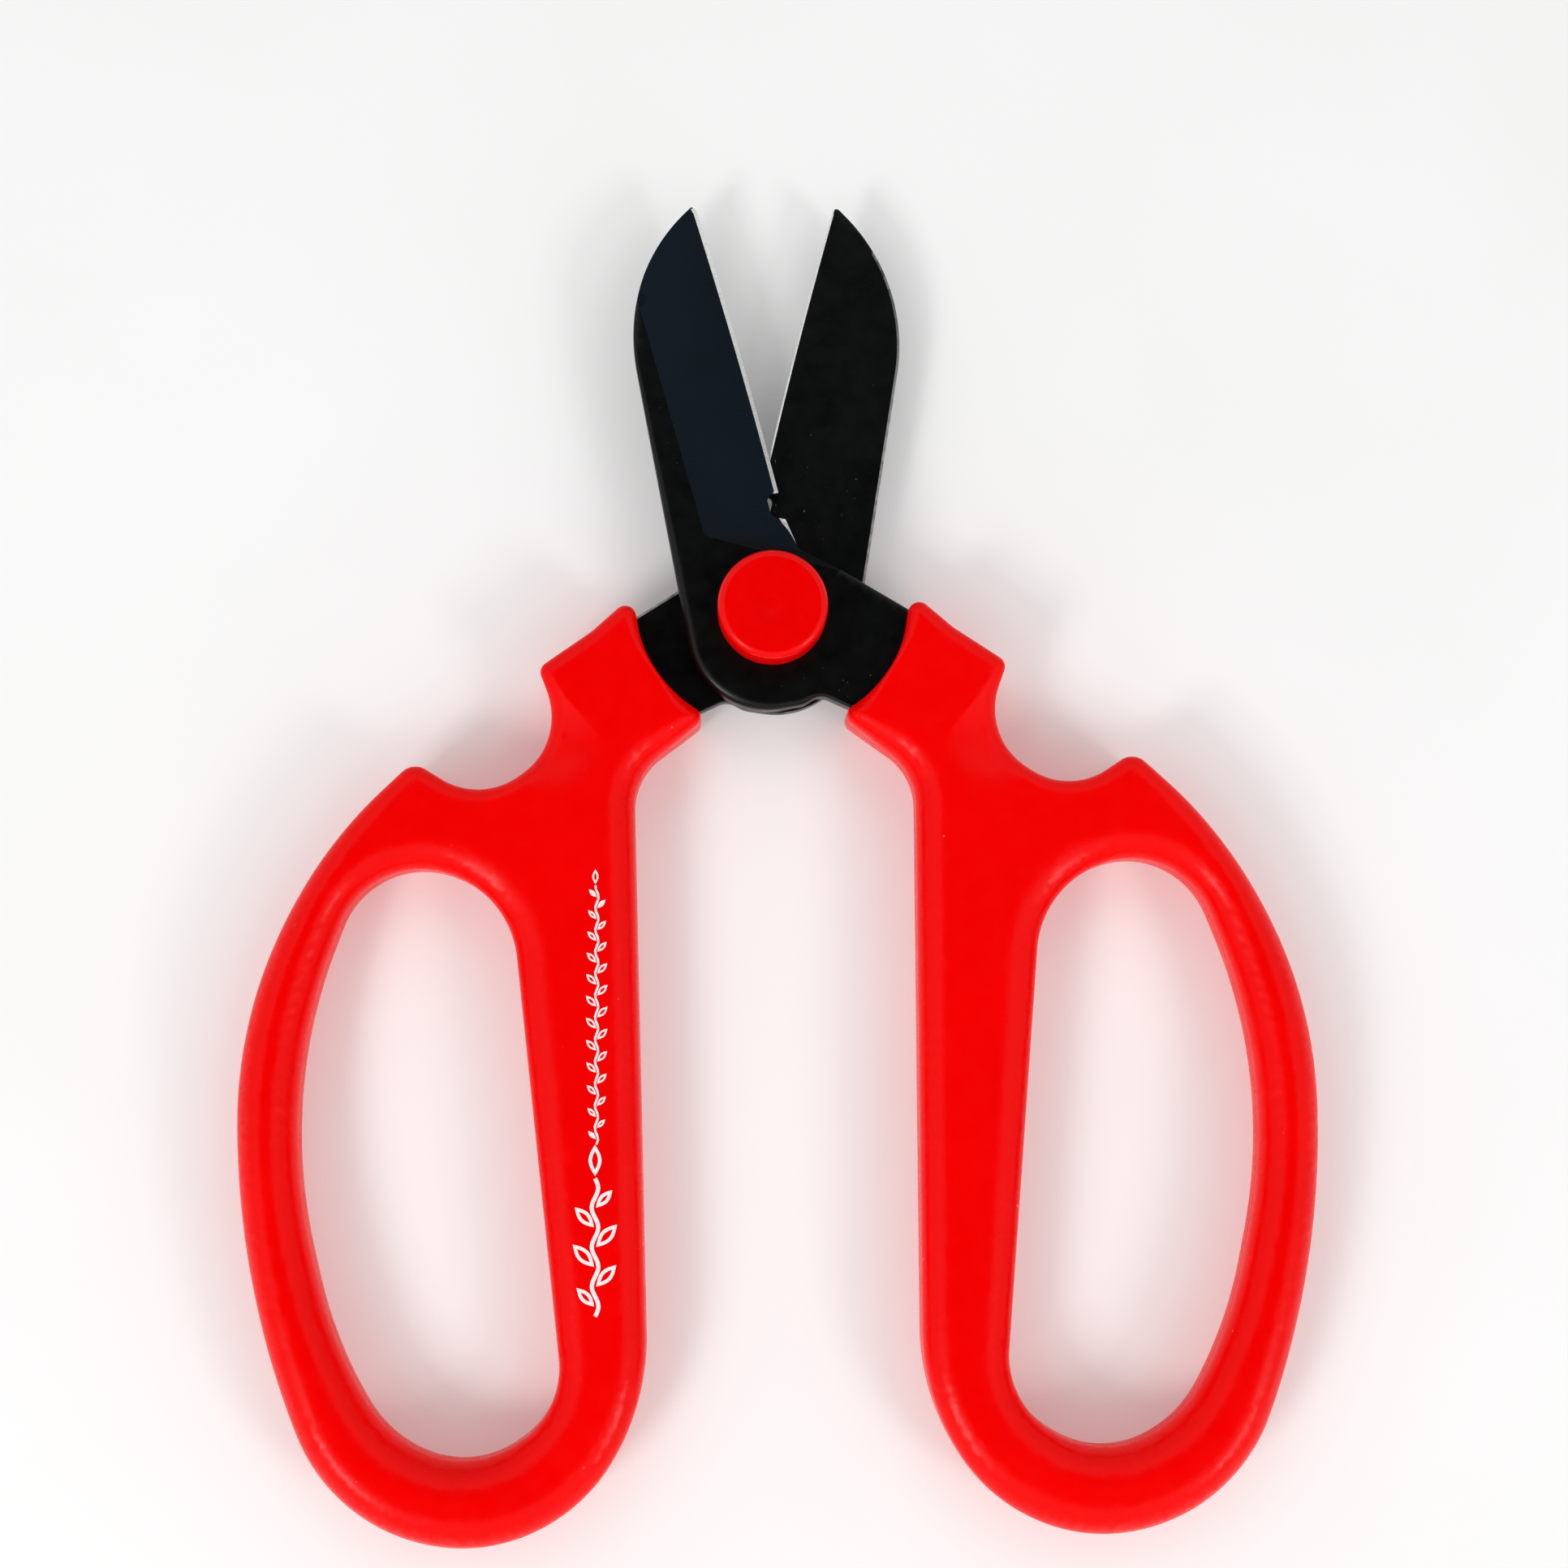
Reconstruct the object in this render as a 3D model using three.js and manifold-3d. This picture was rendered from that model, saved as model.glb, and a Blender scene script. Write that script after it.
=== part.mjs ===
/* Floral snips: two identical forged halves, one turned over, on a keyed pivot bolt.
 *
 * Frame: millimetres, +Z up, +Y towards the blade tips. The origin is on the pivot axis, in the
 * plane that the handles and the bolt head lie on. Each half is drawn closed, beside the Y axis,
 * with the plane in which the blades meet at z = 0. It is then lifted, and turned open.
 */
import * as THREE from "three";
import { mergeVertices } from "three/addons/utils/BufferGeometryUtils.js";
import Module from "manifold-3d";

const wasm = await Module();
wasm.setup();

// Driving dimensions, in millimetres.
const HANDLE_THICKNESS = 10;
const HANDLE_EDGE_INSET = 1.0;
const HANDLE_EDGE_DEPTH = 1.8;
const BLADE_THICKNESS = 2.7;
const BLADE_CLEARANCE = 0.15; // from the meeting plane to each blade
const TANG_CLEARANCE = 0.15; // all round a tang inside its handle
const EDGE_THICKNESS = 0.35; // left at the cutting edge by the grind
const HALF_OPEN_ANGLE = THREE.MathUtils.degToRad(10.2); // each half from closed, as it lies
const MEETING_PLANE = HANDLE_THICKNESS / 2;

const BOLT_RADIUS = 3;
const BOLT_HOLE_RADIUS = 3.2;
const BOLT_HEAD_RADIUS = 6.2;
const BOLT_HEAD_CHAMFER = 0.4;
const KEY_RADIUS = 4.2; // the round sides of the bolt's key, which the rear blade grips
const KEY_HALF_WIDTH = 3.1; // the two flat sides
const KEY_CLEARANCE = 0.1;
const STACK_GAP = 0.1; // between pieces that lie on each other along the bolt

const BLADE_WASHER_RADIUS = 7.2;
const BLADE_WASHER_THICKNESS = 0.2;
const WASHER_RADIUS = 4.9;
const FLAT_WASHER_THICKNESS = 0.6;
const SPRING_WASHER_THICKNESS = 0.3;
const SPRING_WAVE = 0.2; // height of the wave to each side
const SPRING_WAVES = 3;
const NUT_ACROSS_FLATS = 8;
const NUT_HEIGHT = 1.9;
const CAP_RADIUS = 6.4;
const CAP_HEIGHT = 5.0;
const CAP_WALL = 1.2;
const CAP_TOP_WALL = 1.3;
const CAP_ROUND = 1.0;

const ARC_TOLERANCE = 0.04; // how far a chord may lie inside its arc
const ROUND_SEGMENTS = 48;

// Outlines are corners with the radius that rounds each: [x, y, radius].
const HANDLE_OUTLINE = [
  [13.1, -10.5, 14], // collar end, hollow round the pivot
  [5.3, -13.5, 1.2], // collar's inner corner
  [12.8, -21.8, 7.7], // throat between the collar and the bar
  [-0.6, -91.8, 25.4], // foot of the bar, where the two handles meet
  [6.8, -111.6, 19.5],
  [32.0, -111.3, 20.6], // end of the loop
  [47.1, -87.1, 95],
  [55.3, -47.0, 50.8], // bow of the loop
  [38.2, -24.4, 2.2], // spur behind the finger rest
  [29.3, -28.1, 8], // finger rest
  [21.3, -18.9, 8.6],
  [25.8, -11.3, 1.3], // collar's outer corner
  [20.4, -6.0, 8], // the collar's edge bends in towards the horn
  [16.4, -0.9, 1.3], // horn, which stops the other blade
];

const FINGER_LOOP = [
  [41.7, -35.1, 9.9],
  [24.6, -37.6, 11.5],
  [8.5, -94.4, 9.7],
  [17.6, -103.1, 11],
  [27.9, -100.4, 14],
  [35.8, -91.2, 48.8],
  [47.1, -64.8, 59.4],
];

const BLADE_OUTLINE = [
  [0.6, 51.0, 0.5], // tip
  [-10.1, 43.0, 23], // belly of the spine
  [-10.4, -11.4, 9.5], // round end under the pivot
  [1.5, -11.5, 3],
  [3.6, -10.7, 2], // relief between the round end and the tang
  [9.6, -14.9, 3], // tang, inside the handle from here
  [15.2, -23.0, 6],
  [11.2, -50.5, 2.5],
  [17.0, -50.5, 2.5],
  [20.9, -14.0, 8],
  [19.2, -5.8, 3],
  [4.65, 7.2, 0.4], // heel of the cutting side
  [3.85, 11.05, 0.15],
  [2.25, 11.4, 0.9], // stem notch
  [2.1, 14.0, 0.7],
  [3.65, 14.35, 0.15],
  [2.6, 31.9, 700], // cutting edge, slightly bowed
];

// The tang alone, from inside the round end to its tip.
const TANG_OUTLINE = [
  [3.6, -10.7, 2],
  [9.6, -14.9, 3],
  [15.2, -23.0, 6],
  [11.2, -50.5, 2.5],
  [17.0, -50.5, 2.5],
  [20.9, -14.0, 8],
  [19.2, -5.8, 3],
  [4.65, 7.2, 0.4],
];

// The ground face slopes up from the cutting edge to a line along the spine, this far away.
const EDGE_TIP = new THREE.Vector2(0.7, 50.3);
const EDGE_HEEL = new THREE.Vector2(3.65, 14.35);
const GRIND_WIDTH = 10;
// It ends on a slanted line beside the pivot. The other sides lie past the blade's outline.
const GRIND_REGION = [
  new THREE.Vector2(-14, 12.9),
  new THREE.Vector2(8, 6.05),
  new THREE.Vector2(8, 54),
  new THREE.Vector2(-14, 54),
];

// Points along an outline whose corners are rounded by arcs.
function roundedOutline(corners) {
  const points = [];
  corners.forEach(([x, y, radius], index) => {
    const corner = new THREE.Vector2(x, y);
    const before = corners.at(index - 1);
    const after = corners[(index + 1) % corners.length];
    const toBefore = new THREE.Vector2(before[0], before[1]).sub(corner).normalize();
    const toAfter = new THREE.Vector2(after[0], after[1]).sub(corner).normalize();
    const halfAngle = Math.acos(toBefore.dot(toAfter)) / 2;
    const middle = toBefore.clone().add(toAfter).normalize();
    const centre = corner.clone().addScaledVector(middle, radius / Math.sin(halfAngle));
    const start = corner.clone().addScaledVector(toBefore, radius / Math.tan(halfAngle));
    const turn = Math.PI - 2 * halfAngle;
    const side = Math.sign(toAfter.cross(toBefore));
    const steps = Math.max(2, Math.ceil(turn / (2 * Math.acos(1 - ARC_TOLERANCE / radius))));
    for (let step = 0; step <= steps; step += 1) {
      points.push(start.clone().rotateAround(centre, (side * turn * step) / steps));
    }
  });
  return points;
}

function circle(radius, segments = ROUND_SEGMENTS) {
  const points = [];
  for (let step = 0; step < segments; step += 1) {
    const angle = (2 * Math.PI * step) / segments;
    points.push(new THREE.Vector2(radius * Math.cos(angle), radius * Math.sin(angle)));
  }
  return points;
}

// A plate between two heights, with an outline and any holes.
function plate(outline, bottom, top, holes = []) {
  const shape = new THREE.Shape(outline);
  shape.holes = holes.map((hole) => new THREE.Path(hole));
  const geometry = new THREE.ExtrudeGeometry(shape, { depth: top - bottom, bevelEnabled: false });
  return geometry.translate(0, 0, bottom);
}

// A turned piece: its profile is [radius, height] points that start and end on the axis, or a
// closed ring of them.
function turned(profile) {
  const points = profile.map(([radius, height]) => new THREE.Vector2(radius, height));
  return new THREE.LatheGeometry(points, ROUND_SEGMENTS).rotateX(Math.PI / 2);
}

function toSolid(geometry) {
  const bare = geometry.clone();
  bare.deleteAttribute("normal");
  bare.deleteAttribute("uv");
  const merged = mergeVertices(bare, 1e-4);
  const vertProperties = new Float32Array(merged.attributes.position.array);
  const triVerts = new Uint32Array(merged.index.array);
  return new wasm.Manifold(new wasm.Mesh({ numProp: 3, vertProperties, triVerts }));
}

function toGeometry(solid) {
  const mesh = solid.getMesh();
  const geometry = new THREE.BufferGeometry();
  geometry.setAttribute("position", new THREE.BufferAttribute(mesh.vertProperties, 3));
  geometry.setIndex(new THREE.BufferAttribute(mesh.triVerts, 1));
  geometry.computeVertexNormals();
  return geometry;
}

// The steel that grinding takes off: everything over a slope that rises from the cutting edge.
function grindWedge() {
  const bottom = BLADE_CLEARANCE + EDGE_THICKNESS;
  const top = BLADE_CLEARANCE + BLADE_THICKNESS;
  const slope = (top - bottom) / GRIND_WIDTH;
  const along = EDGE_HEEL.clone().sub(EDGE_TIP).normalize();
  const spineward = new THREE.Vector2(along.y, -along.x);
  const geometry = plate(GRIND_REGION, bottom, top + 5);
  const position = geometry.attributes.position;
  for (let index = 0; index < position.count; index += 1) {
    if (position.getZ(index) < top) {
      const point = new THREE.Vector2(position.getX(index), position.getY(index));
      position.setZ(index, bottom + slope * point.sub(EDGE_TIP).dot(spineward));
    }
  }
  return geometry;
}

function forgedBlade(boltHole) {
  const bottom = BLADE_CLEARANCE;
  const top = bottom + BLADE_THICKNESS;
  const blank = toSolid(plate(roundedOutline(BLADE_OUTLINE), bottom, top));
  const hole = toSolid(plate(boltHole, bottom - 1, top + 1));
  return toGeometry(blank.subtract(toSolid(grindWedge())).subtract(hole));
}

// The handle is moulded round the tang, and its edges are rounded over.
function mouldedHandle() {
  const shape = new THREE.Shape(roundedOutline(HANDLE_OUTLINE));
  shape.holes = [new THREE.Path(roundedOutline(FINGER_LOOP))];
  const depth = HANDLE_THICKNESS - 2 * HANDLE_EDGE_DEPTH;
  const body = new THREE.ExtrudeGeometry(shape, {
    depth,
    bevelThickness: HANDLE_EDGE_DEPTH,
    bevelSize: HANDLE_EDGE_INSET,
    bevelOffset: -HANDLE_EDGE_INSET,
    bevelSegments: 3,
  });
  body.translate(0, 0, -depth / 2);

  const pocket = new THREE.ExtrudeGeometry(new THREE.Shape(roundedOutline(TANG_OUTLINE)), {
    depth: BLADE_THICKNESS,
    bevelThickness: TANG_CLEARANCE,
    bevelSize: TANG_CLEARANCE,
    bevelSegments: 1,
  });
  pocket.translate(0, 0, BLADE_CLEARANCE);
  return toGeometry(toSolid(body).subtract(toSolid(pocket)));
}

// A circle with two flat sides, so that the bolt turns with the blade that grips it.
function keyOutline(clearance) {
  const halfWidth = KEY_HALF_WIDTH + clearance;
  const outline = circle(KEY_RADIUS + clearance);
  outline.forEach((point) => {
    point.x = THREE.MathUtils.clamp(point.x, -halfWidth, halfWidth);
  });
  return outline;
}

// Heights of the pieces along the bolt, from the face the snips lie on.
const rearBladeBottom = MEETING_PLANE - BLADE_CLEARANCE - BLADE_THICKNESS;
const rearBladeTop = MEETING_PLANE - BLADE_CLEARANCE;
const frontBladeTop = MEETING_PLANE + BLADE_CLEARANCE + BLADE_THICKNESS;
const boltHeadTop = rearBladeBottom - STACK_GAP;
const flatWasherBottom = frontBladeTop + STACK_GAP;
const springWasherMiddle = flatWasherBottom + FLAT_WASHER_THICKNESS + STACK_GAP + SPRING_WAVE;
const nutBottom = springWasherMiddle + SPRING_WASHER_THICKNESS + SPRING_WAVE + STACK_GAP;
const boltEnd = nutBottom + NUT_HEIGHT + STACK_GAP;
const capBottom = frontBladeTop + STACK_GAP;
const capTop = capBottom + CAP_HEIGHT;

function pivotBolt() {
  const headAndShank = turned([
    [0, 0],
    [BOLT_HEAD_RADIUS - BOLT_HEAD_CHAMFER, 0],
    [BOLT_HEAD_RADIUS, BOLT_HEAD_CHAMFER],
    [BOLT_HEAD_RADIUS, boltHeadTop],
    [BOLT_RADIUS, boltHeadTop],
    [BOLT_RADIUS, boltEnd],
    [0, boltEnd],
  ]);
  const key = plate(keyOutline(0), boltHeadTop - STACK_GAP, rearBladeTop - STACK_GAP);
  return toGeometry(toSolid(headAndShank).add(toSolid(key)));
}

function flatRing(inner, outer, thickness) {
  return turned([
    [inner, 0],
    [outer, 0],
    [outer, thickness],
    [inner, thickness],
    [inner, 0],
  ]);
}

// A thin ring that rises and falls round its edge.
function waveWasher() {
  const ring = flatRing(BOLT_HOLE_RADIUS, WASHER_RADIUS, SPRING_WASHER_THICKNESS);
  const places = ring.attributes.position;
  for (let index = 0; index < places.count; index += 1) {
    const angle = Math.atan2(places.getY(index), places.getX(index));
    const lift = SPRING_WAVE * Math.cos(SPRING_WAVES * angle);
    places.setZ(index, places.getZ(index) + lift);
  }
  return ring;
}

function hexNut() {
  const cornerRadius = NUT_ACROSS_FLATS / 2 / Math.cos(Math.PI / 6);
  return plate(circle(cornerRadius, 6), 0, NUT_HEIGHT, [circle(BOLT_HOLE_RADIUS)]);
}

// A cup that snaps over the nut, mouth down, with a rounded rim.
function snapCap() {
  const rim = [];
  const rimSteps = 4;
  for (let step = 0; step <= rimSteps; step += 1) {
    const angle = (Math.PI / 2) * (step / rimSteps);
    rim.push([
      CAP_RADIUS - CAP_ROUND + CAP_ROUND * Math.cos(angle),
      CAP_HEIGHT - CAP_ROUND + CAP_ROUND * Math.sin(angle),
    ]);
  }
  return turned([
    [0, CAP_HEIGHT - CAP_TOP_WALL],
    [CAP_RADIUS - CAP_WALL, CAP_HEIGHT - CAP_TOP_WALL],
    [CAP_RADIUS - CAP_WALL, 0],
    [CAP_RADIUS, 0],
    ...rim,
    [0, CAP_HEIGHT],
  ]);
}

function finish(color, roughness, metalness) {
  return new THREE.MeshStandardMaterial({ color, roughness, metalness });
}

function piece(name, geometry, material, height = 0) {
  const mesh = new THREE.Mesh(geometry, material);
  mesh.name = name;
  mesh.position.z = height;
  return mesh;
}

// One blade with its handle, open to one side; the rear half is the same, turned over.
function half(bladeName, handleName, boltHole, turnedOver) {
  const drawn = new THREE.Group();
  drawn.add(
    piece(bladeName, forgedBlade(boltHole), finish(0x121315, 0.5, 0.6)),
    piece(handleName, mouldedHandle(), finish(0xe00606, 0.4, 0)),
  );
  drawn.rotation.y = turnedOver ? Math.PI : 0;
  const opened = new THREE.Group();
  opened.add(drawn);
  opened.position.z = MEETING_PLANE;
  opened.rotation.z = turnedOver ? -HALF_OPEN_ANGLE : HALF_OPEN_ANGLE;
  return opened;
}

function pivot() {
  const steel = () => finish(0x9a9da1, 0.35, 1);
  const group = new THREE.Group();
  group.add(
    piece("pivot_bolt", pivotBolt(), finish(0x1a1b1d, 0.45, 0.8)),
    piece(
      "blade_washer",
      flatRing(BOLT_HOLE_RADIUS, BLADE_WASHER_RADIUS, BLADE_WASHER_THICKNESS),
      finish(0xe8e6df, 0.6, 0),
      MEETING_PLANE - BLADE_WASHER_THICKNESS / 2,
    ),
    piece(
      "flat_washer",
      flatRing(BOLT_HOLE_RADIUS, WASHER_RADIUS, FLAT_WASHER_THICKNESS),
      steel(),
      flatWasherBottom,
    ),
    piece("spring_washer", waveWasher(), steel(), springWasherMiddle),
    piece("pivot_nut", hexNut(), steel(), nutBottom),
    piece("pivot_cap", snapCap(), finish(0xe00808, 0.3, 0), capBottom),
  );
  group.rotation.z = -HALF_OPEN_ANGLE;
  return group;
}

const snips = new THREE.Group();
snips.add(
  half("front_blade", "right_handle", circle(BOLT_HOLE_RADIUS), false),
  half("rear_blade", "left_handle", keyOutline(KEY_CLEARANCE), true),
  pivot(),
);

export default snips;
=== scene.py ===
"""Floral snips: fine surfaces, materials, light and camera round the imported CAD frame.

Each half is drawn as part.mjs draws it: in millimetres, closed, beside the Y axis, with the plane
in which the blades meet at z = 0. The last step lifts it, opens it and turns it into metres.
"""

import math

import bmesh
import bpy
import numpy as np
from mathutils import Matrix, Vector
from mathutils.geometry import delaunay_2d_cdt
from mathutils.kdtree import KDTree


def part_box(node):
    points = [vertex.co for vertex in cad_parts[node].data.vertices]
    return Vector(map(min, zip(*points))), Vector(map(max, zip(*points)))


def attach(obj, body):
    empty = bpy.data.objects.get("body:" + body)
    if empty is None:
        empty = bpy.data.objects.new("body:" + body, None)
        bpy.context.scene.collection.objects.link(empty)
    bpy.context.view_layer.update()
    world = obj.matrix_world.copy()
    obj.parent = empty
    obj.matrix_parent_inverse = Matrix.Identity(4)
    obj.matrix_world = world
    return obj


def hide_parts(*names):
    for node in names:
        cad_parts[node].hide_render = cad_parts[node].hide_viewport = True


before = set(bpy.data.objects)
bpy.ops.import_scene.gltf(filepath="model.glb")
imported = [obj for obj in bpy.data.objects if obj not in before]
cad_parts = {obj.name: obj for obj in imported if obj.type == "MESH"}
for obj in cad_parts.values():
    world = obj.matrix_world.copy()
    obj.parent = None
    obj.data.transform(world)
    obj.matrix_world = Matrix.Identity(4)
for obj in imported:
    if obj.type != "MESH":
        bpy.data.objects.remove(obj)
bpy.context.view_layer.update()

MM = 0.001
HALF_OPEN = math.radians(10.2)
MEETING_PLANE = (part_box("right_handle")[1].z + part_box("right_handle")[0].z) / 2 / MM
HALF_THICKNESS = (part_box("right_handle")[1].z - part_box("right_handle")[0].z) / 2 / MM
BLADE_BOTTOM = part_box("front_blade")[0].z / MM - MEETING_PLANE
BLADE_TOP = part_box("front_blade")[1].z / MM - MEETING_PLANE

# Corners of an outline: x, y, radius, then the width and depth of the rounding over its rim.
HANDLE_OUTLINE = [
    (13.1, -10.5, 14.0, 0.5, 0.5),  # collar end
    (5.3, -13.5, 1.2, 2.0, 2.2),  # collar's inner corner
    (12.8, -21.8, 7.7, 3.8, 3.5),  # throat
    (-0.6, -91.8, 25.4, 3.4, 3.0),  # foot of the bar
    (6.8, -111.6, 19.5, 4.0, 3.6),
    (32.0, -111.3, 20.6, 4.0, 3.8),  # end of the loop
    (47.1, -87.1, 95.0, 3.5, 3.8),
    (55.3, -47.0, 50.8, 3.5, 3.6),  # bow of the loop
    (38.2, -24.4, 2.2, 2.2, 1.6),  # spur
    (29.3, -28.1, 8.0, 1.8, 1.5),  # finger rest
    (21.3, -18.9, 8.6, 1.8, 1.5),
    (25.8, -11.3, 1.3, 1.9, 1.3),  # collar's outer corner
    (20.4, -6.0, 8.0, 1.9, 1.4),
    (16.4, -0.9, 1.3, 1.7, 1.5),  # horn
]
FINGER_LOOP = [
    (41.7, -35.1, 9.9, 3.8, 3.2),
    (24.6, -37.6, 11.5, 4.6, 2.8),
    (8.5, -94.4, 9.7, 3.6, 3.0),
    (17.6, -103.1, 11.0, 4.2, 3.6),
    (27.9, -100.4, 14.0, 4.2, 3.8),
    (35.8, -91.2, 48.8, 3.6, 3.8),
    (47.1, -64.8, 59.4, 3.5, 3.8),
]
BLADE_OUTLINE = [
    (0.6, 51.0, 0.5, 0.15, 0.1),  # tip
    (-10.1, 43.0, 23.0, 0.4, 0.3),  # belly of the spine
    (-10.4, -11.4, 9.5, 1.3, 0.9),  # round end
    (1.5, -11.5, 3.0, 0.9, 0.6),
    (3.6, -10.7, 2.0, 0.5, 0.4),  # relief
    (9.6, -14.9, 3.0, 0.3, 0.3),  # tang, inside the handle from here
    (15.2, -23.0, 6.0, 0.3, 0.3),
    (11.2, -50.5, 2.5, 0.3, 0.3),
    (17.0, -50.5, 2.5, 0.3, 0.3),
    (20.9, -14.0, 8.0, 0.3, 0.3),
    (19.2, -5.8, 3.0, 0.3, 0.3),
    (4.65, 7.2, 0.4, 0.3, 0.3),  # heel
    (3.85, 11.05, 0.15, 0.12, 0.1),
    (2.25, 11.4, 0.9, 0.16, 0.14),  # stem notch
    (2.1, 14.0, 0.7, 0.16, 0.14),
    (3.65, 14.35, 0.15, 0.12, 0.1),
    (2.6, 31.9, 700.0, 0.12, 0.1),  # cutting edge, slightly bowed
]

# The facet that eases the neck into the finger rest: the two ends of the crease along its top.
SCOOP_START = np.array([22.9, -13.4])
SCOOP_END = np.array([17.0, -18.4])
SCOOP_DEPTH = 1.1
SCOOP_REACH = 2.0
SCOOP_SOFTNESS = 0.1
CREASE_LINE_GAP = 0.18
CREASE_HELD_WIDTH = 1.4

# A blade's ground face slopes from the cutting edge to a line along the spine. Past a slanted
# line beside the pivot, a shoulder takes it back up. A narrow bevel is honed bare along the edge.
EDGE_TIP = np.array([0.7, 50.3])
EDGE_HEEL = np.array([3.65, 14.35])
GRIND_WIDTH = 10.0
GRIND_END_LEFT = np.array([-6.0, 10.4])
GRIND_END_RIGHT = np.array([4.5, 7.15])
GROUND_EDGE = 0.75
HOLLOW = 0.06
SHOULDER_SLOPE = 1.2
HONED_WIDTH = 0.5
HONED_DROP = 0.42
HONED_BACK = 0.22
# Width of the pale grey band along a blade's spine and tang, on its flat side.
PALE_BAND_WIDTH = 0.3
SLIVER = np.array([[2.95, 11.55], [3.06, 11.3], [3.35, 10.5], [3.83, 9.68], [4.23, 8.7], [4.55, 7.7]])
BOLT_HOLE_RADIUS = 3.2
KEY_RADIUS = 4.3
KEY_HALF_WIDTH = 3.2

COATED, GROUND, BARE, PALE_BAND = 0, 1, 2, 3

# Spacing of the mesh's points along outlines, over the middle of a face and near its rims.
RIM_STEPS = 8
HANDLE_STEP = 0.45
LOOP_STEP = 0.5
HANDLE_FILL = 1.1
HANDLE_FINE_FILL = 0.45
BLADE_STEP = 0.4
BLADE_FILL = 0.75
BLADE_FINE_FILL = 0.4
SEAM_HEIGHT = 0.02
SEAM_HALF_WIDTH = 0.1

CAP_WALL = 1.2
CAP_TOP_WALL = 1.3
CAP_ROUND = 1.0
CAP_DISH = 0.08
GATE_RADIUS = 0.55
HEAD_TOP = 2.05
KEY_TOP = 4.85
SHANK_RADIUS = 3.0
THREAD_BOTTOM = 8.6
THREAD_PITCH = 0.5
THREAD_DEPTH = 0.25

# The print on the left handle, in that half's own frame: a large sprig, then a small one.
PRINT_START = (6.7, -83.2)
PRINT_MIDDLE = (9.7, -65.9)
PRINT_NEXT = (9.8, -64.3)
PRINT_END = (14.9, -34.0)
PRINT_PROUD = 0.03
LARGE_SPRIG = {"leaf": 3.5, "spacing": 2.2, "stroke": 0.46}
SMALL_SPRIG = {"leaf": 1.7, "spacing": 1.25, "stroke": 0.24}

CAMERA_AT = (-7.14, -53.86, 297.91)
CAMERA_LOOKS_AT = (1.26, -19.52, 0)
CAMERA_ROLL = math.radians(-1.0)
CAMERA_LENS = 57.6

# In metres: the floor, just under the handles, and the two lights' places and sizes.
FLOOR_HALF_WIDTH = 1.6
FLOOR_HEIGHT = -0.00002
LOW_LEFT_LIGHT = {"place": (-0.50, -0.50, 0.52), "size": 0.22, "power": 2.3}
LOW_RIGHT_LIGHT = {"place": (0.56, -0.46, 0.46), "size": 0.20, "power": 1.4}

# Brightness of the dome at each height over the horizon, 0 to 1.
DOME_STOPS = [(0.0, 0.92), (0.35, 0.68), (0.55, 0.92), (0.85, 1.08), (0.90, 0.02), (1.0, 0.0)]


# ---------------------------------------------------------------- outlines


def rounded_loop(corners, step, finest=math.radians(12)):
    """Points along an outline with rounded corners, and the rim's width and depth at each."""
    corners = np.array(corners, float)
    before = np.roll(corners, 1, axis=0)[:, :2]
    after = np.roll(corners, -1, axis=0)[:, :2]
    points = []
    middles = []
    for index, (x, y, radius, _, _) in enumerate(corners):
        corner = np.array([x, y])
        to_before = (before[index] - corner) / np.linalg.norm(before[index] - corner)
        to_after = (after[index] - corner) / np.linalg.norm(after[index] - corner)
        half = math.acos(np.clip(to_before @ to_after, -1, 1)) / 2
        bisector = (to_before + to_after) / np.linalg.norm(to_before + to_after)
        centre = corner + bisector * radius / math.sin(half)
        start = corner + to_before * radius / math.tan(half) - centre
        turn = (math.pi - 2 * half) * np.sign(to_after[0] * to_before[1] - to_after[1] * to_before[0])
        count = max(2, math.ceil(abs(turn) * radius / step), math.ceil(abs(turn) / finest))
        if points:
            points.extend(line_points(points[-1], centre + start, step))
        for angle in np.linspace(0, turn, count + 1):
            cos, sin = math.cos(angle), math.sin(angle)
            points.append(centre + [cos * start[0] - sin * start[1], sin * start[0] + cos * start[1]])
            if len(middles) == index and abs(angle) >= abs(turn) / 2:
                middles.append(len(points) - 1)
    points.extend(line_points(points[-1], points[0], step))
    loop = np.array(points)
    return loop, rim_along(loop, middles, corners[:, 3:])


def line_points(start, end, step):
    """The points strictly between two ends, about a step apart."""
    count = math.ceil(np.linalg.norm(end - start) / step)
    return [start + (end - start) * k / count for k in range(1, count)]


def rim_along(loop, middles, values):
    """Each rim value eased along the loop from the middle of one corner to the next."""
    lengths = np.linalg.norm(np.roll(loop, -1, axis=0) - loop, axis=1)
    place = np.concatenate([[0], np.cumsum(lengths)])
    total = place[-1]
    knots = place[middles]
    knots = np.concatenate([[knots[-1] - total], knots, [knots[0] + total]])
    padded = np.concatenate([values[-1:], values, values[:1]])
    at = place[:-1]
    span = np.clip(np.searchsorted(knots, at, side="right") - 1, 0, len(knots) - 2)
    share = (at - knots[span]) / (knots[span + 1] - knots[span])
    share = (share * share * (3 - 2 * share))[:, None]
    return padded[span] * (1 - share) + padded[span + 1] * share


def inward_normals(loop, is_hole):
    """Unit normals that point into the material. Loops run anticlockwise."""
    along = np.roll(loop, -1, axis=0) - np.roll(loop, 1, axis=0)
    normal = np.stack([-along[:, 1], along[:, 0]], axis=1)
    normal /= np.linalg.norm(normal, axis=1)[:, None]
    return -normal if is_hole else normal


def anticlockwise(loop, rim):
    """The same loop, turned round if it runs clockwise."""
    nxt = np.roll(loop, -1, axis=0)
    area = np.sum(loop[:, 0] * nxt[:, 1] - loop[:, 1] * nxt[:, 0])
    return (loop, rim) if area > 0 else (loop[::-1].copy(), rim[::-1].copy())


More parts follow.
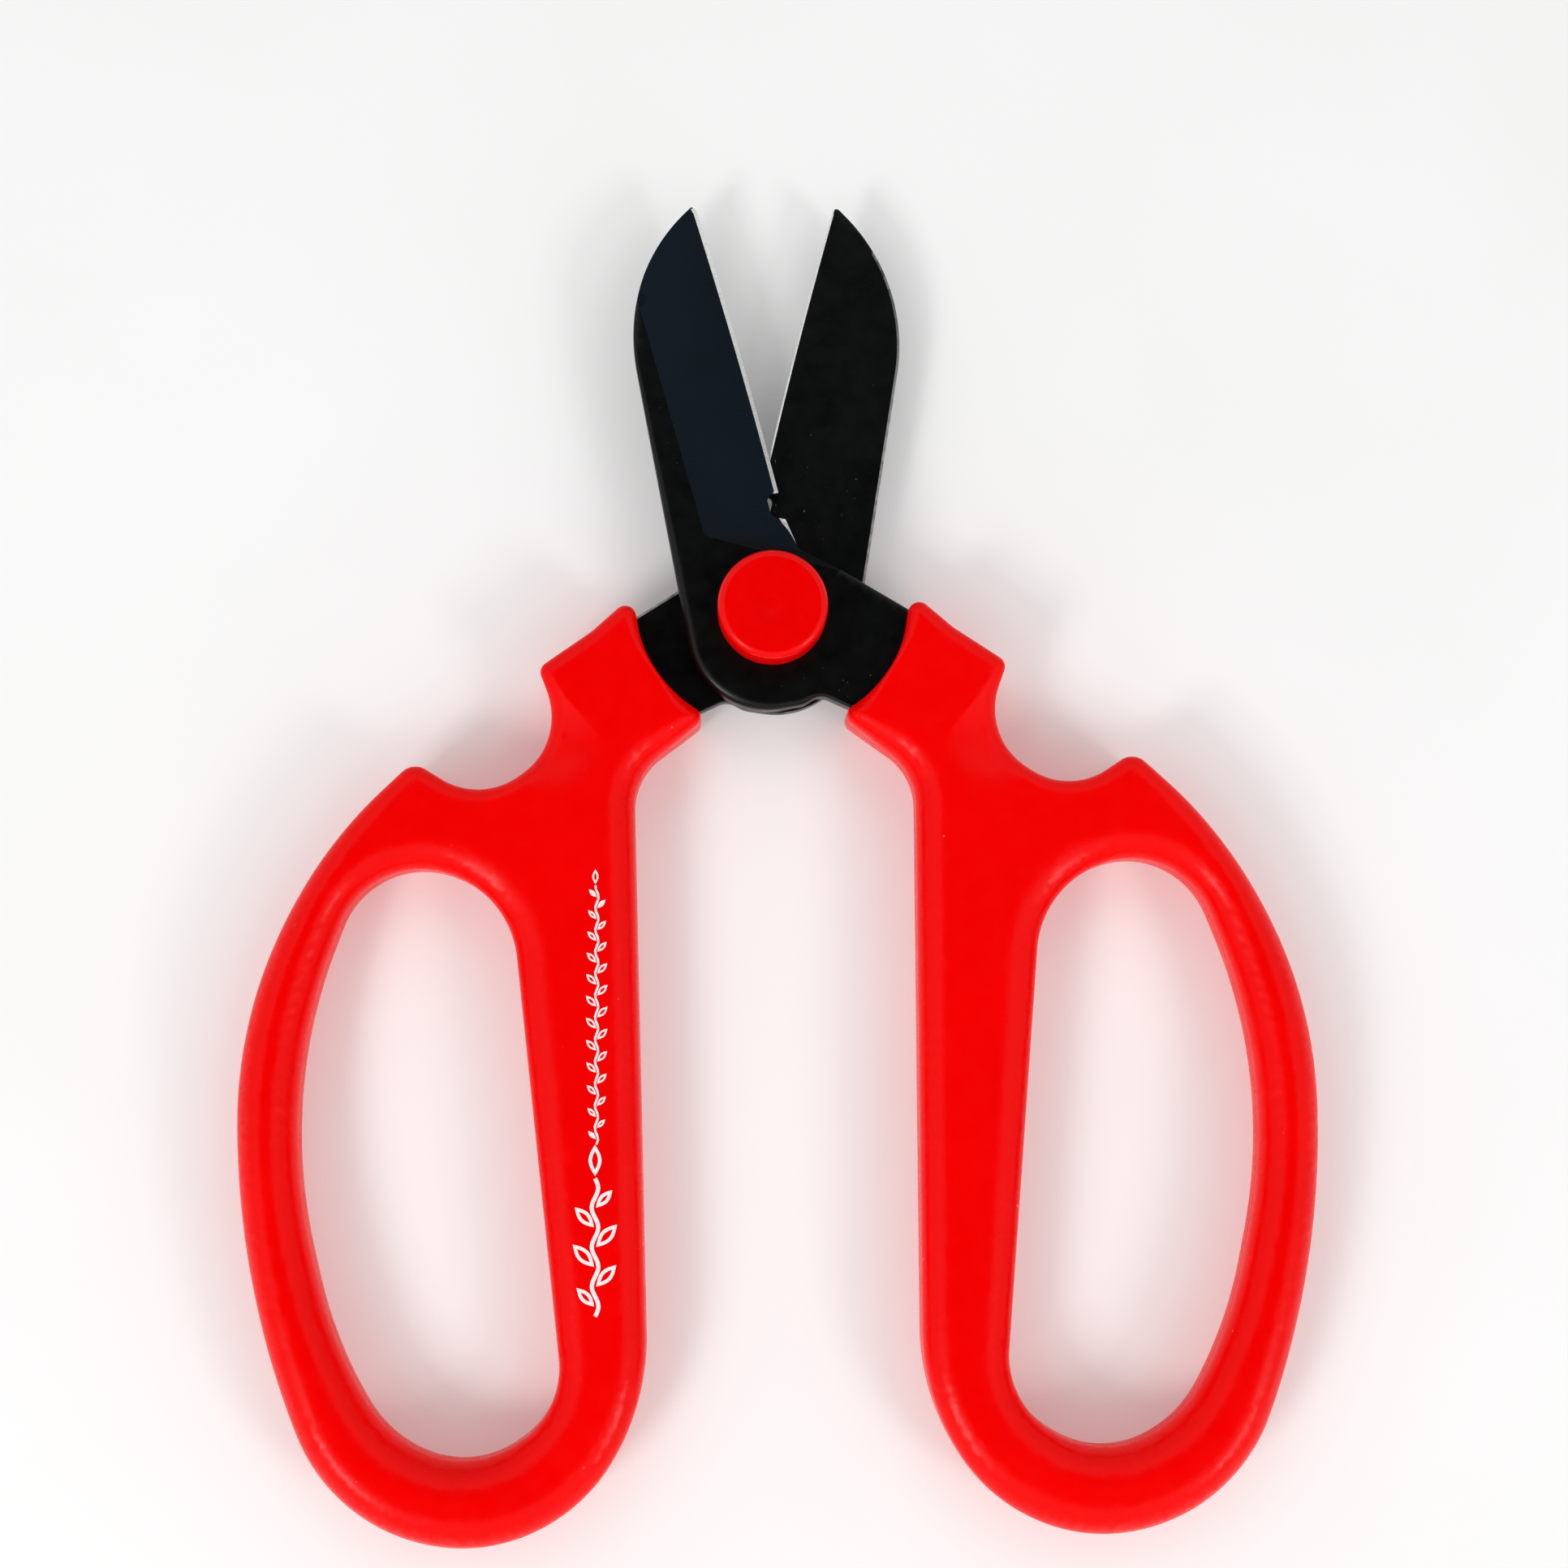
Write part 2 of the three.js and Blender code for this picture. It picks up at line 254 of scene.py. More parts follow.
def distance_to_loop(points, loop, rim):
    """Distance from each point to a loop, and the rim values at the nearest place on it."""
    start = loop
    step = np.roll(loop, -1, axis=0) - loop
    length_squared = np.sum(step * step, axis=1)
    next_rim = np.roll(rim, -1, axis=0)
    distance = np.empty(len(points))
    values = np.empty((len(points), rim.shape[1]))
    for low in range(0, len(points), 1500):
        chunk = points[low:low + 1500, None, :] - start[None]
        share = np.clip(np.sum(chunk * step, axis=2) / length_squared, 0, 1)
        gap = chunk - share[..., None] * step
        squared = np.sum(gap * gap, axis=2)
        nearest = np.argmin(squared, axis=1)
        rows = np.arange(len(nearest))
        at = share[rows, nearest][:, None]
        distance[low:low + 1500] = np.sqrt(squared[rows, nearest])
        values[low:low + 1500] = rim[nearest] * (1 - at) + next_rim[nearest] * at
    return distance, values


def inside_loop(points, loop):
    """Which points lie inside a closed loop."""
    ends = np.roll(loop, -1, axis=0)
    inside = np.zeros(len(points), bool)
    for (x0, y0), (x1, y1) in zip(loop, ends):
        if y0 == y1:
            continue
        crosses = (points[:, 1] > min(y0, y1)) & (points[:, 1] <= max(y0, y1))
        at = x0 + (points[:, 1] - y0) * (x1 - x0) / (y1 - y0)
        inside ^= crosses & (points[:, 0] < at)
    return inside


def distance_to_segment(points, start, end):
    """Distance from each point to a straight line between two ends."""
    along = end - start
    share = np.clip((points - start) @ along / (along @ along), 0, 1)
    return np.linalg.norm(points - start - share[:, None] * along, axis=1)


def circle_loop(radius, count=96, half_width=None):
    """A circle, or a circle with two flat sides."""
    angle = np.arange(count) * 2 * math.pi / count
    loop = radius * np.stack([np.cos(angle), np.sin(angle)], axis=1)
    if half_width:
        loop[:, 0] = np.clip(loop[:, 0], -half_width, half_width)
    return loop, np.full((count, 2), 0.1)


# ---------------------------------------------------------------- plates with shaped faces


def spread_points(loops, rim_shares, fill, fine_fill, lines=()):
    """Points for a shaped face: each loop, copies of it moved inwards, and a fill between them."""
    points = [loop for loop, _, _ in loops]
    for loop, rim, is_hole in loops:
        normal = inward_normals(loop, is_hole)
        for share in rim_shares:
            offset = share * rim[:, :1]
            ring = loop + normal * offset
            gap = np.min([distance_to_loop(ring, other, r)[0] for other, r, _ in loops], axis=0)
            points.append(ring[gap > offset[:, 0] * 0.97 - 0.004])
    points = np.concatenate(points)
    points = points_off_lines(points, sum(len(loop) for loop, _, _ in loops), lines, fine_fill * 0.4)
    outer = loops[0][0]
    low, high = outer.min(0), outer.max(0)
    taken = KDTree(len(points))
    for index, (x, y) in enumerate(points):
        taken.insert((x, y, 0), index)
    taken.balance()
    added = []
    for spacing, closest in ((fill, fill * 0.55), (fine_fill, fine_fill * 0.6)):
        columns = np.arange(low[0], high[0], spacing)
        rows = np.arange(low[1], high[1], spacing * 0.87)
        grid = np.array([(x + (k % 2) * spacing / 2, y) for k, y in enumerate(rows) for x in columns])
        grid = grid[inside_loop(grid, outer)]
        for hole, _, _ in loops[1:]:
            grid = grid[~inside_loop(grid, hole)]
        gap = np.full(len(grid), 99.0)
        width = np.zeros(len(grid))
        for loop, rim, _ in loops:
            d, values = distance_to_loop(grid, loop, rim)
            width = np.where(d < gap, values[:, 0], width)
            gap = np.minimum(gap, d)
        grid = grid[gap > width] if spacing == fill else grid[(gap <= width) & (gap > 0.1)]
        added += [p for p in grid if taken.find((p[0], p[1], 0))[2] > closest]
    return np.concatenate([points, np.array(added)])


def points_off_lines(points, kept, lines, gap):
    """The points with each line's own points put after the first ones, and none close to a line."""
    if not lines:
        return points
    on_lines = np.concatenate(lines)
    away = np.array([np.min(np.linalg.norm(on_lines - p, axis=1)) for p in points])
    later = points[kept:][away[kept:] > gap]
    return np.concatenate([points[:kept], on_lines, later])


def triangulate(points, loops, lines=()):
    """Triangles between the points that lie in the outline and outside its holes."""
    edges = []
    first = 0
    for loop, _, _ in loops:
        count = len(loop)
        edges += [(first + k, first + (k + 1) % count) for k in range(count)]
        first += count
    for line in lines:
        edges += [(first + k, first + k + 1) for k in range(len(line) - 1)]
        first += len(line)
    flat, _, faces, *_ = delaunay_2d_cdt([Vector(p) for p in points], edges, [], 0, 1e-6, False)
    flat = np.array([tuple(v) for v in flat])
    faces = np.array([tuple(f) for f in faces])
    middle = flat[faces].mean(axis=1)
    keep = inside_loop(middle, loops[0][0])
    for hole, _, _ in loops[1:]:
        keep &= ~inside_loop(middle, hole)
    return flat, faces[keep]


def rim_drop(distance, width, depth):
    """How far a rounded rim lies below the face, at a distance from the edge."""
    share = np.clip(1 - distance / width, 0, 1)
    return depth * (1 - np.sqrt(1 - share * share))


def soften(points, faces, height, held, rounds):
    """Heights eased towards their neighbours' mean, apart from the held ones."""
    pairs = np.concatenate([faces[:, [0, 1]], faces[:, [1, 2]], faces[:, [2, 0]]])
    pairs = np.concatenate([pairs, pairs[:, ::-1]])
    weight = 1 / np.maximum(np.linalg.norm(points[pairs[:, 0]] - points[pairs[:, 1]], axis=1), 0.05)
    total = np.bincount(pairs[:, 0], weight, len(points))
    for _ in range(rounds):
        mean = np.bincount(pairs[:, 0], weight * height[pairs[:, 1]], len(points)) / total
        height = np.where(held, height, 0.5 * height + 0.5 * mean)
    return height


def boundary_edges(faces):
    """The directed edges that belong to one triangle only."""
    edges = np.concatenate([faces[:, [0, 1]], faces[:, [1, 2]], faces[:, [2, 0]]])
    both = {tuple(e) for e in edges}
    return [e for e in both if (e[1], e[0]) not in both]


def plate_mesh(name, flat, faces, top, bottom, wall_rings):
    """A closed mesh: a top and bottom face over the same triangles, and a wall between them.

    wall_rings gives, for the wall's inner rings from the top down, a height between the two faces
    and a push outwards. The faces come in the order top, bottom, wall.
    """
    count = len(flat)
    places = [np.column_stack([flat, top]), np.column_stack([flat, bottom])]
    top_faces = [tuple(f) for f in faces]
    bottom_faces = [tuple(count + k for k in f[::-1]) for f in faces]
    edges = boundary_edges(faces)
    outward = np.zeros((count, 2))
    for a, b in edges:
        along = flat[b] - flat[a]
        away = np.array([along[1], -along[0]]) / np.linalg.norm(along)
        outward[a] += away
        outward[b] += away
    rim = sorted({a for a, _ in edges})
    outward[rim] /= np.linalg.norm(outward[rim], axis=1)[:, None]
    number = {vertex: k for k, vertex in enumerate(rim)}
    layers = [{v: v for v in rim}]
    first = 2 * count
    for share_of in wall_rings:
        ring = []
        for v in rim:
            z, push = share_of(top[v], bottom[v], flat[v])
            ring.append([*(flat[v] + outward[v] * push), z])
        places.append(np.array(ring))
        layers.append({v: first + number[v] for v in rim})
        first += len(rim)
    layers.append({v: count + v for v in rim})
    wall = []
    for upper, lower in zip(layers, layers[1:]):
        wall += [(upper[b], upper[a], lower[a], lower[b]) for a, b in edges]
    mesh = bpy.data.meshes.new(name)
    mesh.from_pydata(np.concatenate(places).tolist(), [], top_faces + bottom_faces + wall)
    mesh.validate()
    return mesh


def place_half(mesh, turned_over):
    """Moves a mesh drawn in a half's own frame to where that half lies open, in metres."""
    turn = Matrix.Rotation(math.pi, 4, "Y") if turned_over else Matrix.Identity(4)
    opened = Matrix.Rotation(-HALF_OPEN if turned_over else HALF_OPEN, 4, "Z")
    lift = Matrix.Translation((0, 0, MEETING_PLANE))
    mesh.transform(Matrix.Scale(MM, 4) @ opened @ lift @ turn)


def add_object(name, mesh, materials):
    """Puts a mesh with its materials into the scene."""
    for material in materials:
        mesh.materials.append(material)
    thing = bpy.data.objects.new(name, mesh)
    bpy.context.scene.collection.objects.link(thing)
    return thing


def smooth_by_angle(mesh, degrees):
    """Smooth shading, with sharp edges where two faces meet at more than an angle."""
    mesh.shade_smooth()
    mesh.set_sharp_from_angle(angle=math.radians(degrees))


# ---------------------------------------------------------------- handles


def handle_height(points, outer, loop):
    """Height of a handle's face over its middle plane."""
    height = np.full(len(points), HALF_THICKNESS)
    for edge, rim in (outer, loop):
        distance, values = distance_to_loop(points, edge, rim)
        height -= rim_drop(distance, values[:, 0], values[:, 1])
    return height - scoop_drop(points)


def ease(value):
    """A share from 0 to 1 that starts and ends gently."""
    value = np.clip(value, 0, 1)
    return value * value * (3 - 2 * value)


def scoop_drop(points):
    """Depth of the facet between the collar's outer corner and the finger rest."""
    along = SCOOP_END - SCOOP_START
    length = np.linalg.norm(along)
    along = along / length
    across = np.array([-along[1], along[0]])
    place = (points - SCOOP_START) @ along
    beyond = (points - SCOOP_START) @ across
    past = SCOOP_SOFTNESS * np.logaddexp(0, beyond / SCOOP_SOFTNESS)
    fade = ease((place + 2) / 2.5) * ease((length + 3 - place) / 6) * ease((11 - beyond) / 6)
    return SCOOP_DEPTH * (1 - np.exp(-past / SCOOP_REACH)) * fade


def handle_surface():
    outer = anticlockwise(*rounded_loop(HANDLE_OUTLINE, HANDLE_STEP))
    loop = anticlockwise(*rounded_loop(FINGER_LOOP, LOOP_STEP))
    loops = [(*outer, False), (*loop, True)]
    shares = [1 - math.cos(math.pi / 2 * k / RIM_STEPS) for k in range(1, RIM_STEPS + 1)]
    crease = line_points(SCOOP_START, SCOOP_END, 0.35)
    lines = [moved_aside(crease, distance) for distance in (-CREASE_LINE_GAP, CREASE_LINE_GAP)]
    points = spread_points(loops, shares, HANDLE_FILL, HANDLE_FINE_FILL, lines)
    flat, faces = triangulate(points, loops, lines)
    height = handle_height(flat, outer, loop)
    edge_gap = np.minimum(distance_to_loop(flat, *outer)[0], distance_to_loop(flat, *loop)[0])
    crease_gap = distance_to_segment(flat, SCOOP_START, SCOOP_END)
    held = (edge_gap < 0.3) | (crease_gap < CREASE_HELD_WIDTH)
    height = soften(flat, faces, height, held, 3)
    return flat, faces, height, outer, loop


def seam_rings():
    """Rings of a wall that carry the fine line where the two halves of the mould met."""
    def level(share):
        return lambda top, bottom, place: (share * top, 0.0)

    def seam(offset, push):
        return lambda top, bottom, place: (offset, push)

    return [
        level(0.5),
        seam(SEAM_HALF_WIDTH, 0.0),
        seam(0.0, SEAM_HEIGHT),
        seam(-SEAM_HALF_WIDTH, 0.0),
        level(-0.5),
    ]


def build_handles(material):
    """Both handles, and the two loops of their outline."""
    flat, faces, height, outer, loop = handle_surface()
    for name, turned_over, body in (
        ("right_handle", False, "front_half"),
        ("left_handle", True, "rear_half"),
    ):
        mesh = plate_mesh(name + "_fine", flat, faces, height, -height, seam_rings())
        place_half(mesh, turned_over)
        smooth_by_angle(mesh, 50)
        handle = add_object(name + "_fine", mesh, [material])
        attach(handle, body)
        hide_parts(name)
    return outer, loop


# ---------------------------------------------------------------- blades


def unit(vector):
    """The same direction, one long."""
    return vector / np.linalg.norm(vector)


def along_grind(points):
    """For each point, its distance behind the straight line of the edge, and its place along it."""
    along = unit(EDGE_HEEL - EDGE_TIP)
    return (points - EDGE_TIP) @ np.array([along[1], -along[0]]), (points - EDGE_TIP) @ along


def past_line(points, start, end):
    """Distance of each point to the right of a line, seen from its start towards its end."""
    along = unit(end - start)
    return (points - start) @ np.array([along[1], -along[0]])


def cutting_edge(outline):
    """The stretch of a blade's outline that cuts, from the heel to the tip."""
    on_edge = (outline[:, 0] > 0) & (outline[:, 1] > EDGE_HEEL[1]) & (outline[:, 1] < EDGE_TIP[1])
    edge = outline[on_edge & (past_line(outline, EDGE_TIP, EDGE_HEEL) < 0.1)]
    return edge[np.argsort(edge[:, 1])]


def distance_to_path(points, path):
    """Distance from each point to an open path."""
    return np.min([distance_to_segment(points, a, b) for a, b in zip(path, path[1:])], axis=0)


def right_of_sliver(points):
    """Which points lie between the stem notch and the heel, outside the sliver's inner line."""
    inner_x = np.interp(points[:, 1], SLIVER[::-1, 1], SLIVER[::-1, 0])
    return (points[:, 0] > inner_x) & (points[:, 1] > SLIVER[-1, 1]) & (points[:, 1] < SLIVER[0, 1])


def ground_height(points):
    """Height of the slightly hollow ground face, carried on past its ends."""
    away, _ = along_grind(points)
    share = away / GRIND_WIDTH
    rise = (BLADE_TOP - GROUND_EDGE) * share
    return GROUND_EDGE + rise - HOLLOW * np.sin(math.pi * np.clip(share, 0, 1))


def shoulder_top(end_line, outer):
    """The crease where the shoulder past the ground face comes up to the blade's full height."""
    along = unit(GRIND_END_RIGHT - GRIND_END_LEFT)
    pivotward = np.array([along[1], -along[0]])
    carried_on = GRIND_END_RIGHT + along * np.arange(0, 7, 0.4)[:, None]
    start = np.concatenate([end_line[1:], carried_on])
    crease = start
    for _ in range(8):
        rise = np.clip(BLADE_TOP - ground_height(crease), 0, None)
        crease = start + pivotward * rise[:, None] / SHOULDER_SLOPE
    clear = inside_loop(crease, outer[0]) & (distance_to_loop(crease, *outer)[0] > 0.2)
    return crease[clear & (past_line(crease, GRIND_END_LEFT, GRIND_END_RIGHT) > 0.15)]


def blade_height(points, outer, hole):
    """Height of a blade's ground side over the meeting plane."""
    height = np.full(len(points), BLADE_TOP)
    for edge, rim in (outer, hole):
        distance, values = distance_to_loop(points, edge, rim)
        height -= rim_drop(distance, values[:, 0], values[:, 1])
    ground = ground_height(points)
    ground += SHOULDER_SLOPE * np.clip(past_line(points, GRIND_END_LEFT, GRIND_END_RIGHT), 0, None)
    honed = np.clip(1 - distance_to_path(points, cutting_edge(outer[0])) / HONED_WIDTH, 0, 1)
    sliver_depth = distance_to_path(points, SLIVER) / HONED_WIDTH * right_of_sliver(points)
    ground -= HONED_DROP * np.clip(np.maximum(honed, sliver_depth), 0, 1)
    return np.minimum(height, np.maximum(ground, BLADE_BOTTOM + 0.12))


def moved_aside(path, distance):
    """A path moved to its left by a distance."""
    along = np.gradient(path, axis=0)
    along /= np.linalg.norm(along, axis=1)[:, None]
    return path + np.stack([-along[:, 1], along[:, 0]], axis=1) * distance


def blade_lines(outer):
    """The creases of a blade's faces, which its triangles follow."""
    edge = cutting_edge(outer[0])[1:-2]
    along = unit(EDGE_HEEL - EDGE_TIP)
    spineward = np.array([along[1], -along[0]])
    corner_place = (GRIND_END_LEFT - EDGE_TIP) @ along
    places = np.linspace(10.8, corner_place, 60)[:, None]
    spine_line = EDGE_TIP + along * places + spineward * GRIND_WIDTH
    shares = np.linspace(0, 0.985, 24)[:, None]
    end_line = spine_line[-1] + (GRIND_END_RIGHT - spine_line[-1]) * shares
    sliver = np.concatenate([np.linspace(a, b, 5)[:-1] for a, b in zip(SLIVER[1:], SLIVER[2:])])
    lines = [moved_aside(edge, HONED_WIDTH), moved_aside(edge, HONED_BACK), spine_line, end_line, sliver]
    lines.append(shoulder_top(end_line, outer))
    return lines + [moved_aside(pale_part, PALE_BAND_WIDTH) for pale_part in spine_edge(outer[0])]


def blade_surface(keyed):
    """A blade's triangles and ground side, with a round or a keyed hole for the bolt."""
    outer = anticlockwise(*rounded_loop(BLADE_OUTLINE, BLADE_STEP))
    if keyed:
        hole = circle_loop(KEY_RADIUS, half_width=KEY_HALF_WIDTH)
    else:
        hole = circle_loop(BOLT_HOLE_RADIUS)
    loops = [(*outer, False), (*hole, True)]
    shares = [1 - math.cos(math.pi / 2 * k / 5) for k in range(1, 6)]
    lines = blade_lines(outer)
    points = spread_points(loops, shares, BLADE_FILL, BLADE_FINE_FILL, lines)
    flat, faces = triangulate(points, loops, lines)
    height = blade_height(flat, outer, hole)
    return flat, faces, height, outer, hole


def ground_face_number(middle, edge):
    """Which material a blade's ground side shows at a point: coating, ground steel or bare edge."""
    away, _ = along_grind(middle)
    ground = (away < GRIND_WIDTH) & (past_line(middle, GRIND_END_LEFT, GRIND_END_RIGHT) < 0)
    bare = (distance_to_path(middle, edge) < HONED_WIDTH) | right_of_sliver(middle)
    return np.where(bare, BARE, np.where(ground, GROUND, COATED))


def flat_face_number(middle, edge, spine):
    """The same for a blade's flat side: bare along the very edge, and a pale grey band along the spine
    and tang.
    """
    pale_part = np.where(distance_to_path(middle, spine) < PALE_BAND_WIDTH, PALE_BAND, COATED)
    return np.where(distance_to_path(middle, edge) < HONED_BACK, BARE, pale_part)


def spine_edge(outline):
    """The part of a blade's outline along its spine, from the belly down, and along its tang."""
    spine = outline[(outline[:, 0] < -5) & (outline[:, 1] > -2)]
    tang = outline[(outline[:, 0] > 5) & (outline[:, 1] > -5)]
    return spine, tang


def paint_faces(mesh, face_count, edge, spine, tang):
    """Gives each face of a blade its material, and keeps the creases between materials sharp."""
    middles = np.array([tuple(polygon.center) for polygon in mesh.polygons])[:, :2]
    numbers = np.full(len(mesh.polygons), COATED)
    numbers[:face_count] = ground_face_number(middles[:face_count], edge)
    below = middles[face_count:2 * face_count]
    numbers[face_count:2 * face_count] = np.maximum(
        flat_face_number(below, edge, spine), flat_face_number(below, edge, tang))
    on_edge = distance_to_path(middles[2 * face_count:], edge) < 0.05
    numbers[2 * face_count:] = np.where(on_edge, BARE, COATED)
    mesh.polygons.foreach_set("material_index", numbers.astype(np.int32))
    smooth_by_angle(mesh, 38)
    work = bmesh.new()
    work.from_mesh(mesh)
    for side in work.edges:
        if len(side.link_faces) == 2:
            first, second = side.link_faces
            side.smooth = side.smooth and first.material_index == second.material_index
    work.to_mesh(mesh)
    work.free()


def build_blades(materials):
    """Both blades. The rear one's hole has the two flats that the bolt turns with."""
    for name, turned_over, body in (
        ("front_blade", False, "front_half"),
        ("rear_blade", True, "rear_half"),
    ):
        flat, faces, height, outer, hole = blade_surface(keyed=turned_over)
        gap = np.minimum(distance_to_loop(flat, *outer)[0], distance_to_loop(flat, *hole)[0])
        bottom = BLADE_BOTTOM + rim_drop(gap, 0.2, 0.1)
        mesh = plate_mesh(name + "_fine", flat, faces, height, bottom, [])
        paint_faces(mesh, len(faces), cutting_edge(outer[0]), *spine_edge(outer[0]))
        place_half(mesh, turned_over)
        blade = add_object(name + "_fine", mesh, materials)
        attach(blade, body)
        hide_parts(name)


# ---------------------------------------------------------------- pivot


def lathe_mesh(name, profile, count=160):
    """A closed turned body. The profile runs from the axis, round the outside, back to the axis."""
    angle = np.arange(count) * 2 * math.pi / count
    ring_points = []
    for radius, height in profile[1:-1]:
        ring = [np.cos(angle) * radius, np.sin(angle) * radius, np.full(count, height)]
        ring_points.append(np.stack(ring, axis=1))
    ends = np.array([[0, 0, profile[0][1]], [0, 0, profile[-1][1]]])
    rings = len(ring_points)
    first, last = rings * count, rings * count + 1
    faces = []
    for k in range(count):
        following = (k + 1) % count
        faces.append((first, k, following))
        for ring in range(rings - 1):
            low, high = ring * count, (ring + 1) * count
            faces.append((low + k, high + k, high + following, low + following))
        low = (rings - 1) * count
        faces.append((last, low + following, low + k))
    mesh = bpy.data.meshes.new(name)
    mesh.from_pydata(np.concatenate([*ring_points, ends]).tolist(), [], faces)
    mesh.validate()
    work = bmesh.new()
    work.from_mesh(mesh)
    bmesh.ops.recalc_face_normals(work, faces=work.faces)
    work.to_mesh(mesh)
    work.free()
    return mesh


def arc(centre, radius_out, radius_up, start, end, count):
    """Points of an ellipse's arc in a profile, from one angle to another in degrees."""
    angles = np.radians(np.linspace(start, end, count))
    return [(centre[0] + radius_out * math.cos(a), centre[1] + radius_up * math.sin(a)) for a in angles]


def place_pivot(mesh):
    """Turns a pivot piece with the rear half, and takes it from millimetres to metres."""
    mesh.transform(Matrix.Scale(MM, 4) @ Matrix.Rotation(-HALF_OPEN, 4, "Z"))


def build_cap(material):
    """The cap over the nut: a dished cup with the mark of its moulding gate in the middle."""
    low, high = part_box("pivot_cap")
    bottom, top, radius = low.z / MM, high.z / MM, (high.x - low.x) / 2 / MM
    inner = radius - CAP_WALL
    ceiling = top - CAP_TOP_WALL
    profile = [(0, top - CAP_DISH), (GATE_RADIUS * 0.6, top - CAP_DISH)]
    profile += [(GATE_RADIUS, top - CAP_DISH - 0.04), (GATE_RADIUS * 1.3, top - CAP_DISH)]
    profile += [(radius * 0.45, top - CAP_DISH * 0.6), (radius * 0.7, top - CAP_DISH * 0.1)]
    profile += arc((radius - CAP_ROUND, top - CAP_ROUND * 0.9), CAP_ROUND, CAP_ROUND * 0.9, 90, 0, 12)
    profile += [(radius, bottom + 1.2), (radius, bottom + 0.25)]
    profile += arc((radius - 0.12, bottom + 0.12), 0.12, 0.12, 0, -90, 4)
    profile += [(inner + 0.1, bottom), (inner, bottom + 0.1), (inner, ceiling), (0, ceiling)]
    mesh = lathe_mesh("pivot_cap_fine", profile)
    place_pivot(mesh)
    smooth_by_angle(mesh, 40)
    cap = add_object("pivot_cap_fine", mesh, [material])
    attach(cap, "rear_half")
    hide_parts("pivot_cap")


def build_bolt(material):
    """The pivot bolt: a low head, the key with two flats, the shank and its threaded end."""
    low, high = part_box("pivot_bolt")
    end, head_radius = high.z / MM, (high.x - low.x) / 2 / MM
    profile = [(0, 0.25), (0.35, 0.22), (0.75, 0.0), (head_radius - 0.9, 0.0)]
    profile += arc((head_radius - 0.9, 0.6), 0.9, 0.6, -90, 0, 8)
    profile += arc((head_radius - 0.15, HEAD_TOP - 0.15), 0.15, 0.15, 0, 90, 4)
    profile += [(KEY_RADIUS - 0.1, HEAD_TOP), (KEY_RADIUS - 0.1, KEY_TOP), (SHANK_RADIUS, KEY_TOP)]
    thread_start = THREAD_BOTTOM
    while thread_start + THREAD_PITCH < end - 0.4:
        profile += [(SHANK_RADIUS, thread_start), (SHANK_RADIUS, thread_start + 0.1)]
        profile += [(SHANK_RADIUS - THREAD_DEPTH, thread_start + THREAD_PITCH / 2)]
        thread_start += THREAD_PITCH
    profile += [(SHANK_RADIUS, thread_start), (SHANK_RADIUS, end - 0.4)]
    profile += [(SHANK_RADIUS - 0.4, end), (0, end)]
    mesh = lathe_mesh("pivot_bolt_fine", profile)
    for vertex in mesh.vertices:
        if HEAD_TOP - 0.01 < vertex.co.z < KEY_TOP + 0.01:
            vertex.co.x = max(-KEY_HALF_WIDTH + 0.1, min(KEY_HALF_WIDTH - 0.1, vertex.co.x))
    place_pivot(mesh)
    smooth_by_angle(mesh, 35)
    bolt = add_object("pivot_bolt_fine", mesh, [material])
    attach(bolt, "rear_half")
    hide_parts("pivot_bolt")


def dress_frame_nodes(materials):
    """Gives the CAD nodes that stay, all of them under the cap or between the blades, a finish."""
    for name, material in materials.items():
        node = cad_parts[name]
        node.data.materials.clear()
        node.data.materials.append(material)


# ---------------------------------------------------------------- printed sprig


def leaf_loop(base, tip, width, count=9):
    """A pointed leaf: two arcs between its base and its tip, anticlockwise."""
    base, tip = np.array(base), np.array(tip)
    along = tip - base
    across = np.array([-along[1], along[0]]) / np.linalg.norm(along)
    share = np.linspace(0, 1, count)
    middle = base + share[:, None] * along
    bulge = (np.sin(math.pi * share) * width / 2)[:, None] * across
    return np.concatenate([middle - bulge, (middle + bulge)[-2:0:-1]])


def ribbon_loop(points, width):
    """A strip of even width along a path, anticlockwise."""
    points = np.array(points)
    along = np.gradient(points, axis=0)
    along /= np.linalg.norm(along, axis=1)[:, None]
    across = np.stack([-along[:, 1], along[:, 0]], axis=1) * width / 2
    return np.concatenate([points - across, (points + across)[::-1]])


def sprig_shapes(start, end, leaf, spacing, stroke):
    """Outlines of a sprig: a wavy stem and a row of open leaves on each side of it."""
    start, end = np.array(start), np.array(end)
    length = np.linalg.norm(end - start)
    along = (end - start) / length
    across = np.array([-along[1], along[0]])

    def on_stem(distance):
        return start + along * distance + across * stroke * 0.8 * math.sin(distance / spacing * math.pi)

    shapes = [(ribbon_loop([on_stem(d) for d in np.linspace(0, length - spacing, 60)], stroke), None)]
    count = int((length - spacing) / spacing)
    for k in range(count):
        side = 1 if k % 2 else -1
        scale = 0.72 + 0.28 * math.sin(math.pi * (k + 0.7) / count)
        root = on_stem((k + 0.5) * spacing) + across * side * stroke * 1.05
        tip = root + (along * 0.72 + across * side * 0.69) * leaf * scale
        shapes.append(open_leaf(root, tip, leaf * 0.42 * scale, stroke))
    root = on_stem(length - spacing) + along * stroke * 0.6
    shapes.append(open_leaf(root, root + along * leaf, leaf * 0.42, stroke))
    return shapes


def open_leaf(base, tip, width, stroke):
    """A leaf drawn as a line: its outer outline and the hole inside it."""
    along = (tip - base) / np.linalg.norm(tip - base)
    inner_width = width - 1.7 * stroke
    if inner_width < stroke * 0.6:
        return leaf_loop(base, tip, width), None
    inset = along * stroke * 1.5
    return leaf_loop(base, tip, width), leaf_loop(base + inset, tip - inset, inner_width)


